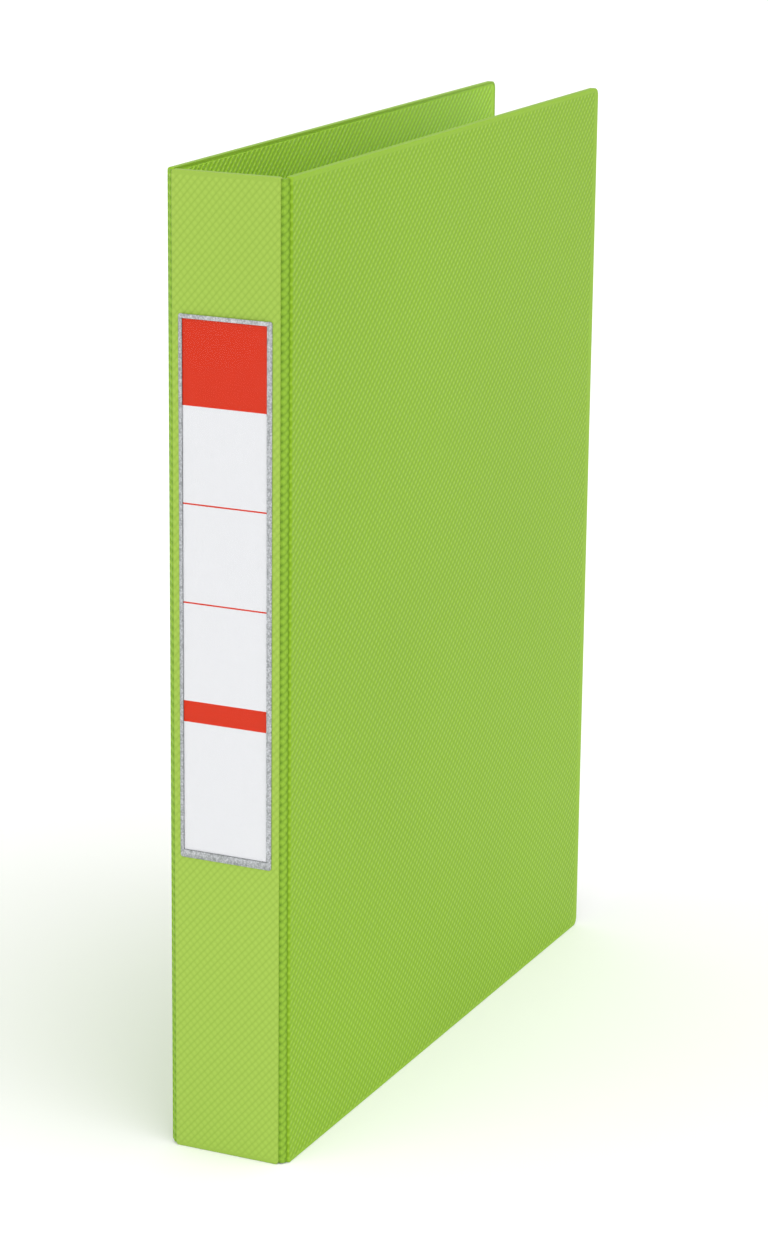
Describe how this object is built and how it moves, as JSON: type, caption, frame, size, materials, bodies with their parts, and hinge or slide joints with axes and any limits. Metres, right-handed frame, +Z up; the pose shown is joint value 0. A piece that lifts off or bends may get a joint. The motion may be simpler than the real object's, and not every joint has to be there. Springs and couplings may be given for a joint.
{
  "type": "ring binder",
  "caption": "Upright A4 ring binder of lime-green foil-covered board with creased hinges, a label pocket on its narrow spine and a D-ring mechanism inside.",
  "frame": {"origin": "centre of the closed binder's footprint on the shelf, at the lower edge", "axes": "+Z up, the spine faces -Y, the front cover faces +X and the rear cover with the rings faces -X"},
  "size_m": [0.0434, 0.2508, 0.318],
  "materials": {
    "outer_foil": "embossed lime polypropylene foil, satin",
    "inner_foil": "embossed green polypropylene foil, satin",
    "greyboard": "recycled grey bookbinding board",
    "hinge_weld": "welded polypropylene bead between two pressed creases",
    "pocket_film": "clear film with a pressed grey welded border",
    "label_card": "white card printed with plain red fields and fine red lines",
    "ring_wire": "bright nickel-plated steel wire",
    "housing_steel": "bright nickel-plated pressed sheet steel",
    "rail_steel": "zinc-plated strip steel",
    "rivet_steel": "nickel-plated steel rivet"
  },
  "bodies": {
    "spine": {"spine_outer_foil": "outer_foil", "spine_board": "greyboard", "spine_inner_foil": "inner_foil", "label_pocket": "pocket_film"},
    "label": {"label_card": "label_card"},
    "front_hinge": {"front_hinge_strip": "hinge_weld"},
    "front_cover": {"front_outer_foil": "outer_foil", "front_board": "greyboard", "front_inner_foil": "inner_foil"},
    "rear_hinge": {"rear_hinge_strip": "hinge_weld"},
    "rear_cover": {"rear_outer_foil": "outer_foil", "rear_board": "greyboard", "rear_inner_foil": "inner_foil", "ring_housing": "housing_steel", "rivet_bottom": "rivet_steel", "rivet_top": "rivet_steel"},
    "spine_side_rail": {"rail_spine_side": "rail_steel", "ring_curved_half_1": "ring_wire", "ring_curved_half_2": "ring_wire", "ring_curved_half_3": "ring_wire", "ring_curved_half_4": "ring_wire"},
    "open_side_rail": {"rail_open_side": "rail_steel", "ring_straight_half_1": "ring_wire", "ring_straight_half_2": "ring_wire", "ring_straight_half_3": "ring_wire", "ring_straight_half_4": "ring_wire"},
    "top_trigger": {"opening_trigger_top": "housing_steel"},
    "bottom_trigger": {"opening_trigger_bottom": "housing_steel"}
  },
  "joints": [
    {"name": "front_cover_fold", "type": "hinge", "parent": "spine", "child": "front_cover", "pos_m": [0.02063, -0.1235, 0], "axis": [0, 0, -1], "range_deg": [0, 176]},
    {"name": "front_crease", "type": "hinge", "parent": "spine", "child": "front_hinge", "pos_m": [0.01922, -0.1235, 0], "axis": [0, 0, -1], "range_deg": [0, 88]},
    {"name": "rear_cover_fold", "type": "hinge", "parent": "spine", "child": "rear_cover", "pos_m": [-0.01957, -0.1235, 0], "axis": [0, 0, 1], "range_deg": [0, 176]},
    {"name": "rear_crease", "type": "hinge", "parent": "spine", "child": "rear_hinge", "pos_m": [-0.01818, -0.1235, 0], "axis": [0, 0, 1], "range_deg": [0, 88]},
    {"name": "ring_open", "type": "hinge", "parent": "rear_cover", "child": "spine_side_rail", "pos_m": [-0.01498, -0.1076, 0.159], "axis": [0, 0, -1], "range_deg": [0, 18]},
    {"name": "open_side_rail_turn", "type": "hinge", "parent": "rear_cover", "child": "open_side_rail", "pos_m": [-0.01498, -0.0896, 0.159], "axis": [0, 0, 1], "range_deg": [0, 18]},
    {"name": "top_trigger_press", "type": "hinge", "parent": "rear_cover", "child": "top_trigger", "pos_m": [-0.01448, -0.0986, 0.2915], "axis": [0, -1, 0], "range_deg": [0, 18]},
    {"name": "bottom_trigger_press", "type": "hinge", "parent": "rear_cover", "child": "bottom_trigger", "pos_m": [-0.01448, -0.0986, 0.0265], "axis": [0, 1, 0], "range_deg": [0, 18]},
    {"name": "label_slide", "type": "slide", "parent": "spine", "child": "label", "axis": [0, 0, 1], "range_m": [0, 0.18]}
  ],
  "couplings": [
    {"joint": "front_crease", "follows": "front_cover_fold", "ratio": 0.5},
    {"joint": "rear_crease", "follows": "rear_cover_fold", "ratio": 0.5},
    {"joint": "open_side_rail_turn", "follows": "ring_open", "ratio": 1},
    {"joint": "top_trigger_press", "follows": "ring_open", "ratio": 1},
    {"joint": "bottom_trigger_press", "follows": "ring_open", "ratio": 1}
  ]
}
